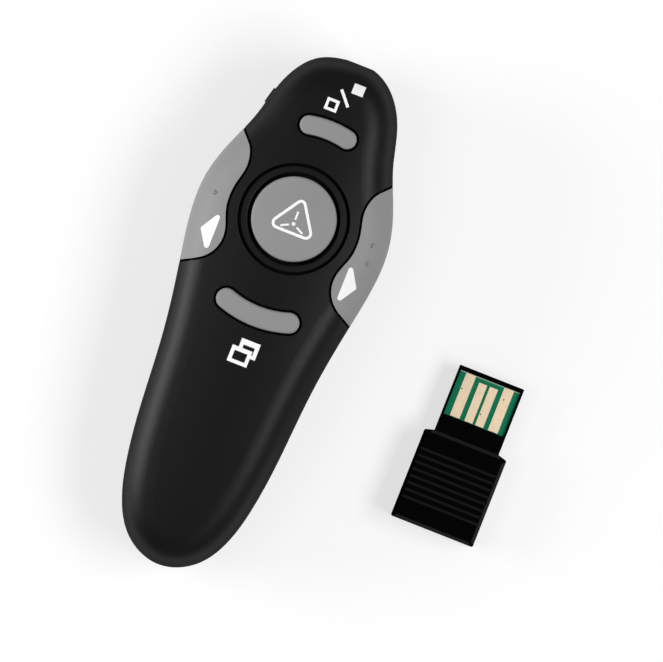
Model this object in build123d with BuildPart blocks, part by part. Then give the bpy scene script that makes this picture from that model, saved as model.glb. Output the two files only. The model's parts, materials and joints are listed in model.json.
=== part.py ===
from build123d import *
import os
from math import sqrt

# Wireless presentation clicker: a handheld lying on its back, and its USB receiver beside it.
# +Y is the nose, where the laser leaves; +X is the right side; +Z is the side with the keys.
# The origin is on the flat back, in the middle of the handheld's plan. Sizes are millimetres.

# Handheld: outer form
handheld_length = 93.6
handheld_width = 34.6
crown_height = 22.4  # top of the crown above the back
crown_y = 12.0  # where the crown is highest
crown_length_radius = 300.0  # curve of the crown along the handheld
crown_cross_radius = 60.0  # curve of the crown across it
top_round = 6.5
bottom_round = 6.0
wall = 1.6
parting_height = 9.0  # the two shells meet here, and the laser's axis lies in this plane
seam_width = 0.24  # shadow line where two halves of a case meet
seam_depth = 0.25

# Plan outline from nose to tail: shares of the half length and of the half width
rim_shape = [
    (1.0, 0.0),
    (0.989, 0.208),
    (0.953, 0.410),
    (0.850, 0.607),
    (0.739, 0.694),
    (0.628, 0.792),
    (0.517, 0.916),
    (0.370, 1.0),
    (0.184, 0.965),
    (0.0, 0.879),
    (-0.224, 0.798),
    (-0.521, 0.737),
    (-0.744, 0.642),
    (-0.891, 0.488),
    (-0.974, 0.260),
    (-1.0, 0.0),
]

# Keys
key_centre_y = 17.5  # centre of the round key, and of the arcs of all the others
key_travel = 0.5
key_gap = 0.42  # between a key and the edge of its opening
key_proud = 0.25  # how far the middle keys and the ring stand above the crown
key_round = 0.5
lip_gap = 0.1  # between a key's lip and the shell above it
lip_thickness = 0.9
lip_reach = 1.0  # how far the lip runs under the shell
laser_key_radius = 7.45
ring_inner_radius = 8.0
ring_outer_radius = 9.15
ring_sleeve = 0.55
ring_groove = 0.6  # open groove round the ring
ring_fit = 0.05
ring_round = 0.35
upper_key_radius = 16.55
upper_key_thickness = 3.4
upper_key_half_angle = 12.2
lower_key_radius = 18.0
lower_key_thickness = 3.7
lower_key_half_angle = 18.8
side_key_lift = 0.35  # what stays open under a side key when it is pressed
tactile_radius = 0.4
previous_dots = [(-14.5, -0.7)]  # x, and y from the keys' centre
next_dots = [(14.4, 0.7), (14.75, -2.5)]

# Inner edge of the right side key, from nose to tail: x, and y from the keys' centre
side_key_edge = [
    (14.6, 12.5),
    (13.16, 10.5),
    (11.84, 9.0),
    (11.05, 6.8),
    (11.0, 5.0),
    (11.5, 2.8),
    (11.88, 0.0),
    (11.5, -3.0),
    (10.69, -5.2),
    (10.3, -7.1),
    (10.55, -9.1),
    (11.84, -11.25),
    (14.0, -12.75),
    (17.0, -14.5),
]

# Batteries, their bay and its door
cell_diameter = 10.5
cell_length = 44.5
cell_nub_radius = 1.9
cell_nub_length = 0.8
cell_gap = 0.2
cell_clearance = 0.25
bay_tail_y = -27.2
bay_merge_y = -8.0  # tailward of this the bay's sides are one with the shell's walls
bay_wall = 1.2
bay_ceiling = 1.1
plate_thickness = 0.4
plate_side = 7.2
spring_length = 3.2
spring_wire = 0.5
spring_radius = 2.9
spring_turns = 3
door_gap = 0.3
door_corner = 1.5
door_tongue_half = 7.5  # half width of the door past the bay
latch_room = 4.8  # length of door past the bay, where its latch stands
latch_width = 7.0
latch_thickness = 0.8
latch_height = 5.4
latch_hook = 0.45
tab_x = 9.3
tab_width = 2.0
tab_reach = 1.3
tab_thickness = 0.6
tab_gap = 0.1
latch_span = 2.5  # between the middles of its two legs
latch_foot = 0.2
grip_width = 9.0
grip_groove = 0.8
grip_depth = 0.4
grip_pitch = 1.8
grip_count = 3
cell_round = 0.5
spring_taper = 22.0  # degrees
plate_tab = 2.0  # width of a plate's tab up to the board

# Board and switches
board_thickness = 1.0
board_edge_gap = 0.3
board_gap = 0.3  # round the bosses that pass through it
board_nose_y = 38.2
board_tail_y = -33.0
switch_side = 4.5
switch_height = 2.5
plunger_radius = 1.7
plunger_rise = 0.8
plunger_fit = 0.1
plunger_sink = 1.0  # how far the plunger reaches into its case
switch_corner = 0.4
side_switch_x = 10.8
side_switch_y = 13.0
stem_radius = 1.5
radio_chip_place = (0, -11.0)
radio_chip_side = 5.0
radio_chip_height = 0.9
crystal_place = (6.5, -11.0)
crystal_length = 3.2
crystal_width = 2.5
crystal_height = 0.8
chip_parts_place = (-7.0, -12.0)
chip_part_length = 1.0
chip_part_width = 0.5

# Screws
case_screw_nose = (8.0, 28.5)
case_screw_tail = (4.4, -37.8)
boss_radius = 2.3
screw_radius = 1.0
screw_head_radius = 1.9
screw_head_height = 1.4
screw_seat_height = 4.0
screw_grip = 5.0  # thread past the parting plane
board_screw_places = [(0, -20.0), (0, 8.4)]
board_screw_radius = 0.8
board_screw_head_radius = 1.6
board_screw_head_height = 1.0
board_screw_grip = 2.5
thread_clearance = 0.15
screw_slot_width = 0.4

# Laser
laser_radius = 3.0
laser_length = 10.4
laser_bore_radius = 2.4
laser_lens_thickness = 1.2
laser_fit = 0.05
laser_collar_length = 4.0
laser_collar_radius = 4.2
laser_cradle_length = 1.2
laser_driver_length = 7.6
laser_driver_width = 5.6
laser_driver_thickness = 0.8
laser_driver_gap = 0.4
laser_lip = 0.6
laser_aperture_radius = 1.6
laser_diode_radius = 1.8
laser_diode_flange = 1.2
laser_diode_length = 3.6
laser_pin_radius = 0.22
laser_pin_length = 2.6
window_seat = 0.45  # the window's flange sits this far inside the wall's middle
laser_window_gap = 0.3
window_radius = 2.3
window_flange_radius = 3.0
window_flange_thickness = 0.6
nose_flat = 0.2  # the nose tip is cut flat by this much

# Power slider
knob_y = 36.0
knob_length = 3.0
knob_height = 2.2
knob_proud = 0.35
knob_gap = 0.3
knob_corner = 0.5
knob_travel = 1.5
knob_lip = 0.7
knob_lip_thickness = 0.7
knob_lip_gap = 0.35
power_case_length = 7.0
power_case_depth = 3.2
power_case_height = 3.2
power_lever_side = 1.5
power_lever_length = 1.2
power_lever_inset = 1.0

# Receiver
receiver_x = 42.1
receiver_shoulder_y = -7.5
receiver_length = 16.6
receiver_width = 15.3
receiver_height = 6.4
receiver_seam = 3.2
receiver_wall = 1.1
receiver_corner = 0.35
receiver_bevel = 0.6
shoulder_slope = 0.45
plug_length = 12.2
plug_width = 12.0
plug_bottom = 2.0
plug_thickness = 2.4
plug_rim = 0.35
plug_floor = 0.9
plug_tip = 0.7
plug_cover_length = 3.25
groove_count = 8  # finger grooves across the cover, open at its left side
groove_pitch = 1.265
groove_first = 3.76
groove_width = 0.45
groove_depth = 0.12
groove_stop = 0.15  # from their ends to the right bevel
receiver_board_thickness = 1.0
receiver_board_length = 24.0
receiver_fit = 0.1
contact_thickness = 0.1
outer_contact_width = 1.8
outer_contact_offset = 3.55
inner_contact_width = 1.5
inner_contact_offset = 1.0
outer_contact_start = 0.1
inner_contact_start = 0.9
receiver_chip_inset = 5.5
receiver_chip_side = 4.0
receiver_chip_height = 0.8
receiver_crystal_inset = 10.5
receiver_parts_spread = 7.5

nose_y = handheld_length / 2
cell_radius = cell_diameter / 2
cell_x = cell_radius + cell_gap / 2
cell_z = wall + cell_clearance + cell_radius
channel_radius = cell_radius + cell_clearance
bay_half = cell_x + channel_radius
ring_sleeve_radius = ring_inner_radius + ring_sleeve
bay_length = cell_length + spring_length + 2 * plate_thickness
bay_nose_y = bay_tail_y + bay_length
board_bottom = cell_z + channel_radius + bay_ceiling
board_top = board_bottom + board_thickness
switch_top = board_top + switch_height
plunger_top = switch_top + plunger_rise
laser_lip_radius = ring_sleeve_radius + ring_fit + lip_reach
laser_pin_height = parting_height + laser_driver_thickness / 2 + laser_pin_radius
groove_places = [
    (receiver_shoulder_y - groove_first - step * groove_pitch, receiver_height)
    for step in range(groove_count)
]
side_key_bottom = parting_height + key_travel + side_key_lift
lip_inset = wall + lip_gap
lip_bottom_inset = lip_inset + lip_thickness
above = crown_height + 5.0

os.makedirs("parts", exist_ok=True)


# The rim is one smooth closed curve, clockwise from the nose
half_length = handheld_length / 2
half_width = handheld_width / 2
right_rim = [(share_x * half_width, share_y * half_length) for share_y, share_x in rim_shape]
left_rim = [(-x, y) for x, y in reversed(right_rim[1:-1])]
rim = Spline(*right_rim, *left_rim, periodic=True)


def moved_points(curve, distance, shares):
    """Points of a curve at the given shares of its length, moved to its right by distance."""
    points = []
    for share in shares:
        place = curve.position_at(share)
        along = curve.tangent_at(share)
        points.append((place.X + along.Y * distance, place.Y - along.X * distance))
    return points


def rim_curve(inset):
    """The rim moved inwards by inset along its own normals."""
    return Spline(*moved_points(rim, inset, [step / 30 for step in range(30)]), periodic=True)


def hull(inset):
    """The handheld's outer form moved inwards by inset: rim walls under a crown, edges rounded."""
    axis_z = crown_height - crown_length_radius
    cross = crown_cross_radius - inset
    half = half_width + 4
    depth = crown_length_radius - 2 * above
    far_side = Plane(origin=(0, crown_y, axis_z), x_dir=(1, 0, 0), z_dir=(0, 1, 0))
    across = [half * step / 3 for step in range(-3, 4)]
    with BuildPart() as form:
        with BuildSketch(Plane.XY.offset(inset)):
            with BuildLine():
                add(rim_curve(inset))
            make_face()
        extrude(amount=above)
        with BuildSketch(far_side):
            with BuildLine():
                base = crown_length_radius - crown_cross_radius
                crown = Spline(*[(x, base + sqrt(cross**2 - x**2)) for x in across])
                Polyline(crown @ 0, (-half, depth), (half, depth), crown @ 1)
            make_face()
        revolve(axis=Axis((0, crown_y, axis_z), (1, 0, 0)), mode=Mode.INTERSECT)
        fillet(form.faces().sort_by(Axis.Z)[-1].edges(), top_round - inset)
        fillet(form.faces().sort_by(Axis.Z)[0].edges(), bottom_round - inset)
    return form.part


def crown_z(x, y, inset):
    """Height of the crown, moved inwards by inset, over the point x, y."""
    radius = crown_length_radius - crown_cross_radius
    radius += sqrt((crown_cross_radius - inset) ** 2 - x**2)
    return crown_height - crown_length_radius + sqrt(radius**2 - (y - crown_y) ** 2)


def plate_height(x, y):
    """Height of the underside of a key's lip whose edge is at x, y."""
    return crown_z(x, y, lip_inset) - lip_thickness


def column(outline, bottom, top):
    """A straight column of the given outline between two heights."""
    with BuildPart() as shaft:
        with BuildSketch(Plane.XY.offset(bottom)):
            add(outline)
        extrude(amount=top - bottom)
    return shaft.part


def key_body(outline, lip_outline, plate_bottom, switch_place):
    """A key: cap that follows the crown, lip that stays under the shell, stem on its plunger."""
    with BuildPart() as lip:
        add(column(lip_outline, plate_bottom, above))
        add(lip_form, mode=Mode.INTERSECT)
    with BuildPart() as key:
        add(column(outline, plate_bottom, above))
        add(proud_form, mode=Mode.INTERSECT)
        fillet(key.faces().sort_by(Axis.Z)[-1].edges(), key_round)
        add(lip.part)
        with BuildSketch(Plane.XY.offset(plunger_top)):
            with Locations(switch_place):
                Circle(stem_radius)
        extrude(amount=plate_bottom - plunger_top)
    return key.part


outer_form = hull(0)
inner_form = hull(wall)
middle_form = hull(wall / 2)
proud_form = hull(-key_proud)
lip_form = hull(lip_inset)
lip_bottom_form = hull(lip_bottom_inset)
room_form = hull(wall + door_gap)

switch_places = {
    "laser": (0, key_centre_y),
    "slideshow": (0, key_centre_y + upper_key_radius),
    "window": (0, key_centre_y - lower_key_radius),
    "previous": (-side_switch_x, side_switch_y),
    "next": (side_switch_x, side_switch_y),
}
case_screw_places = [
    (side * x, y) for x, y in (case_screw_nose, case_screw_tail) for side in (-1, 1)
]


def ring_outline(radius):
    """A disc about the keys' centre."""
    with BuildSketch() as disc:
        with Locations((0, key_centre_y)):
            Circle(radius)
    return disc.sketch


def arc_outline(radius, thickness, middle_angle, half_angle):
    """A curved slot about the keys' centre, with round ends."""
    with BuildSketch() as slot:
        SlotArc(
            CenterArc((0, key_centre_y), radius, middle_angle - half_angle, 2 * half_angle),
            height=thickness,
        )
    return slot.sketch


def upper_outline(grow):
    return arc_outline(upper_key_radius, upper_key_thickness + 2 * grow, 90, upper_key_half_angle)


def lower_outline(grow):
    return arc_outline(lower_key_radius, lower_key_thickness + 2 * grow, 270, lower_key_half_angle)


side_edge = Spline(*[(x, y + key_centre_y) for x, y in side_key_edge])


def side_outline(grow):
    """Everything outside the right side key's inner edge, grown by the given amount."""
    beyond = half_width + 8
    with BuildSketch() as region:
        with BuildLine():
            edge = Spline(*moved_points(side_edge, grow, [step / 20 for step in range(21)]))
            Polyline(edge @ 1, (beyond, (edge @ 1).Y), (beyond, (edge @ 0).Y), edge @ 0)
        make_face()
    return region.sketch


# Power slider: a plane on the left wall, its X along the wall towards the nose, its Z outwards
low, high = 0.5, 1.0
for _ in range(40):
    middle = (low + high) / 2
    if rim.position_at(middle).Y < knob_y:
        low = middle
    else:
        high = middle
knob_point = rim.position_at(low)
knob_along = rim.tangent_at(low)
knob_plane = Plane(
    origin=(knob_point.X, knob_point.Y, parting_height),
    x_dir=(knob_along.X, knob_along.Y, 0),
    z_dir=(-knob_along.Y, knob_along.X, 0),
)
knob_lip_depth = wall + knob_lip_gap
power_case_front = knob_lip_depth + knob_lip_thickness + power_lever_length

with BuildPart() as knob_slot:
    with BuildSketch(knob_plane.offset(-2 * wall)):
        with Locations((knob_travel / 2, 0)):
            RectangleRounded(knob_length + knob_travel + 2 * knob_gap, knob_height + 2 * knob_gap, 0.5)
    extrude(amount=4 * wall)

with BuildPart() as window_bore:
    with BuildSketch(Plane.XZ.offset(-(nose_y + 1))):
        with Locations((0, parting_height)):
            Circle(window_radius + laser_fit)
    extrude(amount=2 * wall + 1)

with BuildPart() as nose_trim:
    with BuildSketch(Plane.XZ.offset(-(nose_y + 1))):
        Rectangle(handheld_width, 4 * crown_height)
    extrude(amount=1 + nose_flat)

with BuildPart() as seam_line:
    with BuildSketch(Plane.XY.offset(parting_height - seam_width / 2)):
        with BuildLine():
            add(rim_curve(-wall))
        make_face()
        with BuildLine():
            add(rim_curve(seam_depth))
        make_face(mode=Mode.SUBTRACT)
    extrude(amount=seam_width)

# Top shell
with BuildPart() as top_bosses:
    with BuildSketch(Plane.XY.offset(parting_height)):
        with Locations(*case_screw_places):
            Circle(boss_radius)
    extrude(amount=above)
    add(middle_form, mode=Mode.INTERSECT)

with BuildPart() as ring_seat:
    add(column(ring_outline(ring_outer_radius + ring_groove), parting_height, above))
    add(middle_form, mode=Mode.SUBTRACT)

with BuildPart() as top_room:
    add(inner_form)
    split(bisect_by=Plane.XY.offset(parting_height), keep=Keep.TOP)

with BuildPart() as side_opening:
    add(column(side_outline(key_gap), parting_height, above))
    mirror(about=Plane.YZ)

with BuildPart() as top_shell:
    add(outer_form)
    split(bisect_by=Plane.XY.offset(parting_height), keep=Keep.TOP)
    add(top_room.part, mode=Mode.SUBTRACT)
    add(column(ring_outline(ring_sleeve_radius + ring_fit), parting_height, above), mode=Mode.SUBTRACT)
    add(ring_seat.part, mode=Mode.SUBTRACT)
    add(column(upper_outline(key_gap), parting_height, above), mode=Mode.SUBTRACT)
    add(column(lower_outline(key_gap), parting_height, above), mode=Mode.SUBTRACT)
    add(side_opening.part, mode=Mode.SUBTRACT)
    add(top_bosses.part)
    add(knob_slot.part, mode=Mode.SUBTRACT)
    add(window_bore.part, mode=Mode.SUBTRACT)
    add(nose_trim.part, mode=Mode.SUBTRACT)
    add(seam_line.part, mode=Mode.SUBTRACT)
    with BuildSketch(Plane.XY.offset(parting_height)):
        with Locations(*case_screw_places):
            Circle(screw_radius + thread_clearance)
    extrude(amount=screw_grip + 1, mode=Mode.SUBTRACT)
top_shell.part.label = "top_shell"
export_step(top_shell.part, "parts/top_shell.step")

# Bottom shell: battery bay with two channels, bosses, laser collar and cradle, switch stand
with BuildPart() as bay_block:
    with BuildSketch(Plane.XZ.offset(-(bay_nose_y + bay_wall))):
        with Locations((0, board_bottom / 2)):
            RectangleRounded(2 * (bay_half + bay_wall), board_bottom, bay_wall)
    extrude(amount=bay_length + 2 * bay_wall)

with BuildPart() as bay_room:
    with BuildSketch(Plane.XZ.offset(-bay_nose_y)):
        with Locations((-cell_x, cell_z), (cell_x, cell_z)):
            Circle(channel_radius)
        with Locations((0, cell_z / 2 - wall)):
            Rectangle(2 * bay_half, cell_z + 2 * wall)
    extrude(amount=bay_length)

door_nose_y = bay_nose_y
door_shoulder_y = bay_tail_y - bay_wall
door_tail_y = door_shoulder_y - latch_room


def door_outline(shrink):
    """The door's plan with its narrow tongue, smaller than its opening by shrink all round."""
    with BuildSketch() as plan:
        for half, tail_y in ((bay_half, door_shoulder_y), (door_tongue_half, door_tail_y)):
            with Locations((0, (door_nose_y + tail_y) / 2)):
                RectangleRounded(
                    2 * (half - shrink), door_nose_y - tail_y - 2 * shrink, door_corner
                )
    return plan.sketch


with BuildPart() as door_opening:
    add(column(door_outline(0), -1, parting_height))
    add(room_form, mode=Mode.SUBTRACT)

laser_front_y = nose_y - wall - window_seat - window_flange_thickness - laser_window_gap
laser_rear_y = laser_front_y - laser_length
collar_front_y = laser_front_y - 0.7
cradle_y = laser_rear_y + 1.0
power_case_plane = knob_plane.offset(-power_case_front)

with BuildPart() as floor_stands:
    with BuildSketch(Plane.XZ.offset(-collar_front_y)):
        with Locations((0, parting_height)):
            Circle(laser_collar_radius)
        with Locations((0, parting_height / 2)):
            Rectangle(2 * laser_collar_radius, parting_height)
    extrude(amount=laser_collar_length)
    with BuildSketch(Plane.XZ.offset(-(cradle_y + laser_cradle_length))):
        with Locations((0, parting_height / 2)):
            Rectangle(2 * laser_collar_radius, parting_height)
    extrude(amount=laser_cradle_length)
    with BuildSketch(power_case_plane.offset(-power_case_depth)):
        with Locations((knob_travel / 2, (parting_height + power_case_height / 2) / 2)):
            Rectangle(power_case_length, parting_height - power_case_height / 2)
    extrude(amount=power_case_depth)
    with BuildSketch():
        with Locations(*case_screw_places):
            Circle(boss_radius)
    extrude(amount=parting_height)
    add(middle_form, mode=Mode.INTERSECT)

with BuildPart() as bay_lower:
    add(bay_block.part)
    with BuildSketch(Plane.XZ.offset(-bay_merge_y)):
        with Locations((0, parting_height / 2)):
            Rectangle(handheld_width, parting_height)
    extrude(amount=bay_merge_y - bay_tail_y + bay_wall)
    add(middle_form, mode=Mode.INTERSECT)
    split(bisect_by=Plane.XY.offset(parting_height), keep=Keep.BOTTOM)

with BuildPart() as bay_upper:
    add(bay_block.part)
    add(room_form, mode=Mode.INTERSECT)
    split(bisect_by=Plane.XY.offset(parting_height), keep=Keep.TOP)

with BuildPart() as bottom_room:
    add(inner_form)
    split(bisect_by=Plane.XY.offset(parting_height), keep=Keep.BOTTOM)

with BuildPart() as bottom_shell:
    add(outer_form)
    split(bisect_by=Plane.XY.offset(parting_height), keep=Keep.BOTTOM)
    add(bottom_room.part, mode=Mode.SUBTRACT)
    add(floor_stands.part)
    add(bay_lower.part)
    add(bay_upper.part)
    add(bay_room.part, mode=Mode.SUBTRACT)
    add(door_opening.part, mode=Mode.SUBTRACT)
    with BuildSketch(Plane.XY.offset(cell_z)):
        with Locations((-cell_x, bay_nose_y), (cell_x, bay_nose_y)):
            Rectangle(
                plate_tab + 2 * door_gap, plate_thickness + door_gap, align=(Align.CENTER, Align.MAX)
            )
    extrude(amount=board_bottom - cell_z, mode=Mode.SUBTRACT)
    with BuildSketch(Plane.XZ.offset(-(bay_nose_y + bay_wall + 0.5))):
        with Locations((-tab_x, wall + 0.7), (tab_x, wall + 0.7)):
            Rectangle(tab_width + 2 * door_gap, 1.5)
    extrude(amount=bay_wall + 1.0, mode=Mode.SUBTRACT)
    with BuildSketch(Plane.XZ.offset(-(collar_front_y + 1))):
        with Locations((0, parting_height)):
            Circle(laser_radius + laser_fit)
    extrude(amount=laser_length, mode=Mode.SUBTRACT)
    add(knob_slot.part, mode=Mode.SUBTRACT)
    add(window_bore.part, mode=Mode.SUBTRACT)
    add(nose_trim.part, mode=Mode.SUBTRACT)
    add(seam_line.part, mode=Mode.SUBTRACT)
    with BuildSketch(Plane.XY.offset(-1)):
        with Locations(*case_screw_places):
            Circle(screw_head_radius + 2 * thread_clearance)
    extrude(amount=screw_seat_height + 1, mode=Mode.SUBTRACT)
    with BuildSketch():
        with Locations(*case_screw_places):
            Circle(screw_radius + thread_clearance)
    extrude(amount=parting_height, mode=Mode.SUBTRACT)
    with BuildSketch(Plane.XY.offset(board_bottom)):
        with Locations(*board_screw_places):
            Circle(board_screw_radius + thread_clearance)
    extrude(amount=-(board_screw_grip + thread_clearance), mode=Mode.SUBTRACT)
bottom_shell.part.label = "bottom_shell"
export_step(bottom_shell.part, "parts/bottom_shell.step")

# Bezel ring: its flange lies in the seat, its sleeve fills the shell's opening
with BuildPart() as ring_flange:
    add(column(ring_outline(ring_outer_radius), parting_height, above))
    add(proud_form, mode=Mode.INTERSECT)
    add(middle_form, mode=Mode.SUBTRACT)

with BuildPart() as bezel_ring:
    add(column(ring_outline(ring_sleeve_radius), parting_height, above))
    add(proud_form, mode=Mode.INTERSECT)
    add(inner_form, mode=Mode.SUBTRACT)
    add(ring_flange.part)
    add(column(ring_outline(ring_inner_radius), parting_height, above), mode=Mode.SUBTRACT)
    fillet(bezel_ring.faces().sort_by(Axis.Z)[-1].edges(), ring_round)
bezel_ring.part.label = "bezel_ring"
export_step(bezel_ring.part, "parts/bezel_ring.step")

# Middle keys
with BuildPart() as laser_key:
    add(
        key_body(
            ring_outline(laser_key_radius),
            ring_outline(laser_lip_radius),
            plate_height(laser_lip_radius, key_centre_y),
            switch_places["laser"],
        )
    )
laser_key.part.label = "laser_key"
export_step(laser_key.part, "parts/laser_key.step")

with BuildPart() as slideshow_key:
    add(
        key_body(
            upper_outline(0),
            upper_outline(lip_reach),
            plate_height(upper_key_thickness * 2, key_centre_y + upper_key_radius),
            switch_places["slideshow"],
        )
    )
slideshow_key.part.label = "slideshow_key"
export_step(slideshow_key.part, "parts/slideshow_key.step")

with BuildPart() as window_key:
    add(
        key_body(
            lower_outline(0),
            lower_outline(lip_reach),
            plate_height(lower_key_thickness * 2, key_centre_y - lower_key_radius),
            switch_places["window"],
        )
    )
window_key.part.label = "window_key"
export_step(window_key.part, "parts/window_key.step")

# Side keys: each is a piece of the shell's own form, with a lip under the shell's edge
with BuildPart() as side_lip:
    add(column(side_outline(lip_reach), side_key_bottom, above))
    add(lip_form, mode=Mode.INTERSECT)

with BuildPart() as side_stem:
    with BuildSketch(Plane.XY.offset(plunger_top)):
        with Locations((side_switch_x, side_switch_y)):
            Circle(stem_radius)
    extrude(amount=above)
    add(lip_form, mode=Mode.INTERSECT)

with BuildPart() as side_key:
    add(column(side_outline(0), side_key_bottom, above))
    add(outer_form, mode=Mode.INTERSECT)
    add(side_lip.part)
    add(lip_bottom_form, mode=Mode.SUBTRACT)
    add(side_stem.part)


def on_face(x, y):
    """The point of the outer form straight above x, y."""
    line = Axis((x, y, 0), (0, 0, 1))
    return max(outer_form.find_intersection_points(line), key=lambda hit: hit[0].Z)[0]


with BuildPart() as next_key:
    add(side_key.part)
    with Locations(*[on_face(x, y + key_centre_y) for x, y in next_dots]):
        Sphere(tactile_radius)
next_key.part.label = "next_key"
export_step(next_key.part, "parts/next_key.step")

with BuildPart() as previous_key:
    add(side_key.part)
    mirror(about=Plane.YZ, mode=Mode.REPLACE)
    with Locations(*[on_face(x, y + key_centre_y) for x, y in previous_dots]):
        Sphere(tactile_radius)
previous_key.part.label = "previous_key"
export_step(previous_key.part, "parts/previous_key.step")

# Switches under the keys: a case on the board, and a plunger that moves with its key
for name, place in switch_places.items():
    with BuildPart() as switch_case:
        with BuildSketch(Plane.XY.offset(board_top)):
            with Locations(place):
                RectangleRounded(switch_side, switch_side, switch_corner)
        extrude(amount=switch_height)
        with BuildSketch(Plane.XY.offset(switch_top)):
            with Locations(place):
                Circle(plunger_radius + plunger_fit)
        extrude(amount=-(plunger_sink + 1.2 * key_travel), mode=Mode.SUBTRACT)
    switch_case.part.label = f"{name}_switch"
    export_step(switch_case.part, f"parts/{name}_switch.step")

    with BuildPart() as plunger:
        with BuildSketch(Plane.XY.offset(plunger_top)):
            with Locations(place):
                Circle(plunger_radius)
        extrude(amount=-(plunger_rise + plunger_sink))
    plunger.part.label = f"{name}_plunger"
    export_step(plunger.part, f"parts/{name}_plunger.step")

# Power slider on the left wall
with BuildPart() as power_knob:
    with BuildSketch(knob_plane.offset(-knob_lip_depth)):
        RectangleRounded(knob_length, knob_height, knob_corner)
    extrude(amount=knob_lip_depth + knob_proud)
    fillet(power_knob.faces().sort_by(Axis.X)[0].edges(), knob_corner / 2)
    with BuildSketch(knob_plane.offset(-knob_lip_depth)):
        RectangleRounded(knob_length + 2 * knob_lip, knob_height + 2 * knob_lip, knob_corner)
    extrude(amount=-knob_lip_thickness)
power_knob.part.label = "power_knob"
export_step(power_knob.part, "parts/power_knob.step")

with BuildPart() as power_lever:
    with BuildSketch(knob_plane.offset(-(knob_lip_depth + knob_lip_thickness))):
        Rectangle(power_lever_side, power_lever_side)
    extrude(amount=-(power_lever_length + power_lever_inset))
power_lever.part.label = "power_lever"
export_step(power_lever.part, "parts/power_lever.step")

with BuildPart() as power_switch:
    with BuildSketch(power_case_plane):
        with Locations((knob_travel / 2, 0)):
            RectangleRounded(power_case_length, power_case_height, 0.3)
    extrude(amount=-power_case_depth)
    with BuildSketch(power_case_plane):
        with Locations((knob_travel / 2, 0)):
            Rectangle(
                power_lever_side + knob_travel + 2 * plunger_fit,
                power_lever_side + 2 * plunger_fit,
            )
    extrude(amount=-(power_lever_inset + plunger_fit), mode=Mode.SUBTRACT)
power_switch.part.label = "power_switch"
export_step(power_switch.part, "parts/power_switch.step")

# Main board and what stands on it
with BuildPart() as main_board:
    with BuildSketch(Plane.XY.offset(board_bottom)):
        with BuildLine():
            add(rim_curve(lip_bottom_inset + board_edge_gap))
        make_face()
        with Locations((0, (board_nose_y + board_tail_y) / 2)):
            Rectangle(handheld_width, board_nose_y - board_tail_y, mode=Mode.INTERSECT)
        with Locations(*case_screw_places):
            Circle(boss_radius + board_gap, mode=Mode.SUBTRACT)
        with Locations(*board_screw_places):
            Circle(board_screw_radius + thread_clearance, mode=Mode.SUBTRACT)
    extrude(amount=board_thickness)
main_board.part.label = "main_board"
export_step(main_board.part, "parts/main_board.step")

with BuildPart() as radio_chip:
    with BuildSketch(Plane.XY.offset(board_top)):
        with Locations(radio_chip_place):
            Rectangle(radio_chip_side, radio_chip_side)
    extrude(amount=radio_chip_height)
    chamfer(radio_chip.faces().sort_by(Axis.Z)[-1].edges(), 0.15)
radio_chip.part.label = "radio_chip"
export_step(radio_chip.part, "parts/radio_chip.step")

with BuildPart() as crystal_can:
    with BuildSketch(Plane.XY.offset(board_top)):
        with Locations(crystal_place):
            RectangleRounded(crystal_length, crystal_width, 0.5)
    extrude(amount=crystal_height)
    fillet(crystal_can.faces().sort_by(Axis.Z)[-1].edges(), 0.2)
crystal_can.part.label = "crystal_can"
export_step(crystal_can.part, "parts/crystal_can.step")

with BuildPart() as chip_parts:
    with BuildSketch(Plane.XY.offset(board_top)):
        with Locations(chip_parts_place):
            with GridLocations(2 * chip_part_length, 3 * chip_part_width, 2, 5):
                Rectangle(chip_part_length, chip_part_width)
    extrude(amount=chip_part_width)
chip_parts.part.label = "chip_parts"
export_step(chip_parts.part, "parts/chip_parts.step")

with BuildPart() as board_screws:
    with BuildSketch(Plane.XY.offset(board_top)):
        with Locations(*board_screw_places):
            Circle(board_screw_head_radius)
    extrude(amount=board_screw_head_height)
    fillet(board_screws.faces().group_by(Axis.Z)[-1].edges(), 0.3)
    with BuildSketch(Plane.XY.offset(board_top)):
        with Locations(*board_screw_places):
            Circle(board_screw_radius)
    extrude(amount=-(board_thickness + board_screw_grip))
    with BuildSketch(Plane.XY.offset(board_top + board_screw_head_height)):
        with Locations(*board_screw_places):
            Rectangle(board_screw_head_radius, screw_slot_width)
            Rectangle(screw_slot_width, board_screw_head_radius)
    extrude(amount=-board_screw_head_height / 2, mode=Mode.SUBTRACT)
board_screws.part.label = "board_screws"
export_step(board_screws.part, "parts/board_screws.step")

with BuildPart() as case_screws:
    with BuildSketch(Plane.XY.offset(screw_seat_height)):
        with Locations(*case_screw_places):
            Circle(screw_head_radius)
    extrude(amount=-screw_head_height)
    with BuildSketch(Plane.XY.offset(screw_seat_height)):
        with Locations(*case_screw_places):
            Circle(screw_radius)
    extrude(amount=parting_height - screw_seat_height + screw_grip)
    with BuildSketch(Plane.XY.offset(screw_seat_height - screw_head_height)):
        with Locations(*case_screw_places):
            Rectangle(screw_head_radius, screw_slot_width)
            Rectangle(screw_slot_width, screw_head_radius)
    extrude(amount=screw_head_height / 2, mode=Mode.SUBTRACT)
case_screws.part.label = "case_screws"
export_step(case_screws.part, "parts/case_screws.step")

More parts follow.
